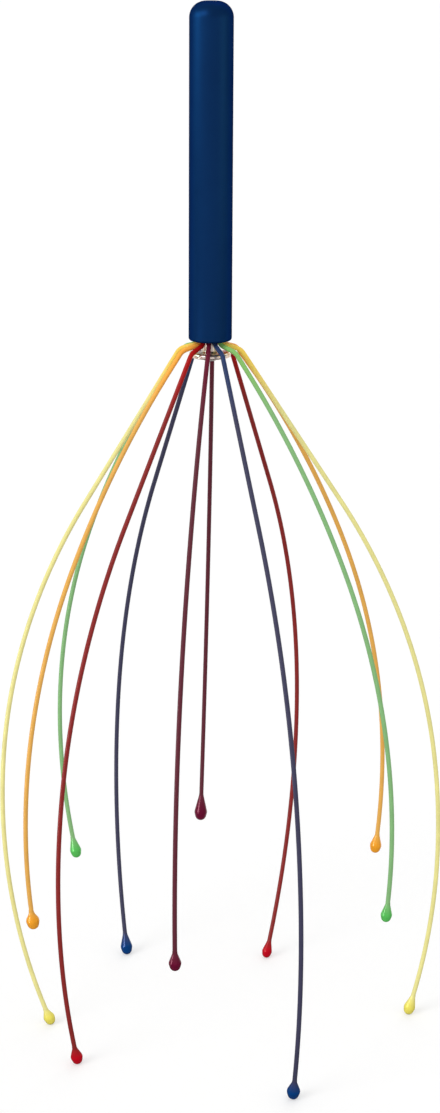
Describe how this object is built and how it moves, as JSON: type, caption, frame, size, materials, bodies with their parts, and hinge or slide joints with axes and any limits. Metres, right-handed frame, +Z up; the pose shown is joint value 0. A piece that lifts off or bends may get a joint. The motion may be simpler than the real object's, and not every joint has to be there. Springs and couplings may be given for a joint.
{
  "type": "head massager",
  "caption": "Hand-held scalp massager: slim round handle with springy coloured wire prongs that fan out over a metal disc, bow down and end in beads.",
  "frame": {"origin": "on the handle's axis, at the level of the flat surface that the long prongs' beads stand on", "axes": "+Z up along the handle, from the beads to the handle's rounded end; -Y towards the viewer of the picture, +X to the viewer's right"},
  "size_m": [0.1167, 0.1104, 0.2703],
  "materials": {
    "handle_blue": "satin dark-blue moulded plastic",
    "plug_nylon": "natural nylon",
    "ferrule_aluminium": "plain drawn aluminium",
    "adhesive": "cured adhesive",
    "spreader_metal": "polished nickel plate",
    "screw_steel": "plated steel",
    "spring_steel": "bright spring steel",
    "yellow_jacket": "yellow plastic coating, semi-gloss",
    "yellow_bead": "yellow moulded plastic, glossy",
    "orange_jacket": "orange plastic coating, semi-gloss",
    "orange_bead": "orange moulded plastic, glossy",
    "red_jacket": "red plastic coating, semi-gloss",
    "red_bead": "red moulded plastic, glossy",
    "plum_jacket": "plum plastic coating, semi-gloss",
    "plum_bead": "plum moulded plastic, glossy",
    "blue_jacket": "blue plastic coating, semi-gloss",
    "blue_bead": "blue moulded plastic, glossy",
    "green_jacket": "green plastic coating, semi-gloss",
    "green_bead": "green moulded plastic, glossy"
  },
  "bodies": {
    "grip": {"handle": "handle_blue", "core_plug": "plug_nylon", "crimp_ferrule": "ferrule_aluminium", "adhesive_plug": "adhesive", "spreader_disc": "spreader_metal", "spreader_screw": "screw_steel", "core_roots": "spring_steel", "root_yellow_right": "yellow_jacket", "root_orange_right": "orange_jacket", "root_red_right": "red_jacket", "root_plum_back": "plum_jacket", "root_blue_left": "blue_jacket", "root_green_left": "green_jacket", "root_yellow_left": "yellow_jacket", "root_orange_left": "orange_jacket", "root_red_left": "red_jacket", "root_plum_front": "plum_jacket", "root_blue_right": "blue_jacket", "root_green_right": "green_jacket"},
    "prong_yellow_right": {"jacket_yellow_right": "yellow_jacket", "core_yellow_right": "spring_steel", "bead_yellow_right": "yellow_bead"},
    "prong_orange_right": {"jacket_orange_right": "orange_jacket", "core_orange_right": "spring_steel", "bead_orange_right": "orange_bead"},
    "prong_red_right": {"jacket_red_right": "red_jacket", "core_red_right": "spring_steel", "bead_red_right": "red_bead"},
    "prong_plum_back": {"jacket_plum_back": "plum_jacket", "core_plum_back": "spring_steel", "bead_plum_back": "plum_bead"},
    "prong_blue_left": {"jacket_blue_left": "blue_jacket", "core_blue_left": "spring_steel", "bead_blue_left": "blue_bead"},
    "prong_green_left": {"jacket_green_left": "green_jacket", "core_green_left": "spring_steel", "bead_green_left": "green_bead"},
    "prong_yellow_left": {"jacket_yellow_left": "yellow_jacket", "core_yellow_left": "spring_steel", "bead_yellow_left": "yellow_bead"},
    "prong_orange_left": {"jacket_orange_left": "orange_jacket", "core_orange_left": "spring_steel", "bead_orange_left": "orange_bead"},
    "prong_red_left": {"jacket_red_left": "red_jacket", "core_red_left": "spring_steel", "bead_red_left": "red_bead"},
    "prong_plum_front": {"jacket_plum_front": "plum_jacket", "core_plum_front": "spring_steel", "bead_plum_front": "plum_bead"},
    "prong_blue_right": {"jacket_blue_right": "blue_jacket", "core_blue_right": "spring_steel", "bead_blue_right": "blue_bead"},
    "prong_green_right": {"jacket_green_right": "green_jacket", "core_green_right": "spring_steel", "bead_green_right": "green_bead"}
  },
  "joints": [
    {"name": "flex_yellow_right", "type": "hinge", "parent": "grip", "child": "prong_yellow_right", "pos_m": [0.0084, 0.00009, 0.18269], "axis": [-0.1045, -0.9944, -0.014], "range_deg": [0, 20], "stiffness_Nm_per_rad": 0.047},
    {"name": "flex_orange_right", "type": "hinge", "parent": "grip", "child": "prong_orange_right", "pos_m": [0.00724, 0.00426, 0.18277], "axis": [0.3549, -0.9343, -0.0349], "range_deg": [-8, 20], "stiffness_Nm_per_rad": 0.058},
    {"name": "flex_red_right", "type": "hinge", "parent": "grip", "child": "prong_red_right", "pos_m": [0.00531, 0.0065, 0.18251], "axis": [0.8478, -0.5297, -0.0262], "range_deg": [0, 20], "stiffness_Nm_per_rad": 0.047},
    {"name": "flex_plum_back", "type": "hinge", "parent": "grip", "child": "prong_plum_back", "pos_m": [0.00054, 0.00837, 0.18275], "axis": [0.9993, -0.0262, -0.0262], "range_deg": [-8, 20], "stiffness_Nm_per_rad": 0.058},
    {"name": "flex_blue_left", "type": "hinge", "parent": "grip", "child": "prong_blue_left", "pos_m": [-0.00384, 0.00745, 0.1825], "axis": [0.8745, 0.4847, -0.0175], "range_deg": [0, 20], "stiffness_Nm_per_rad": 0.047},
    {"name": "flex_green_left", "type": "hinge", "parent": "grip", "child": "prong_green_left", "pos_m": [-0.00691, 0.00476, 0.18278], "axis": [0.5, 0.866, -0.0087], "range_deg": [-8, 20], "stiffness_Nm_per_rad": 0.058},
    {"name": "flex_yellow_left", "type": "hinge", "parent": "grip", "child": "prong_yellow_left", "pos_m": [-0.00836, 0.00084, 0.18259], "axis": [-0.1339, 0.9905, -0.0297], "range_deg": [0, 20], "stiffness_Nm_per_rad": 0.047},
    {"name": "flex_orange_left", "type": "hinge", "parent": "grip", "child": "prong_orange_left", "pos_m": [-0.00763, -0.00349, 0.18284], "axis": [-0.5329, 0.8462, -0.0035], "range_deg": [-8, 20], "stiffness_Nm_per_rad": 0.058},
    {"name": "flex_red_left", "type": "hinge", "parent": "grip", "child": "prong_red_left", "pos_m": [-0.00511, -0.00666, 0.18257], "axis": [-0.7487, 0.6624, 0.0262], "range_deg": [0, 20], "stiffness_Nm_per_rad": 0.047},
    {"name": "flex_plum_front", "type": "hinge", "parent": "grip", "child": "prong_plum_front", "pos_m": [-0.00063, -0.00836, 0.18285], "axis": [-0.9902, 0.1392, 0.0087], "range_deg": [-8, 20], "stiffness_Nm_per_rad": 0.058},
    {"name": "flex_blue_right", "type": "hinge", "parent": "grip", "child": "prong_blue_right", "pos_m": [0.00325, -0.00774, 0.18275], "axis": [-0.9534, -0.3006, -0.0262], "range_deg": [0, 20], "stiffness_Nm_per_rad": 0.047},
    {"name": "flex_green_right", "type": "hinge", "parent": "grip", "child": "prong_green_right", "pos_m": [0.00693, -0.00474, 0.18278], "axis": [-0.4663, -0.8844, -0.0192], "range_deg": [-8, 20], "stiffness_Nm_per_rad": 0.058}
  ]
}
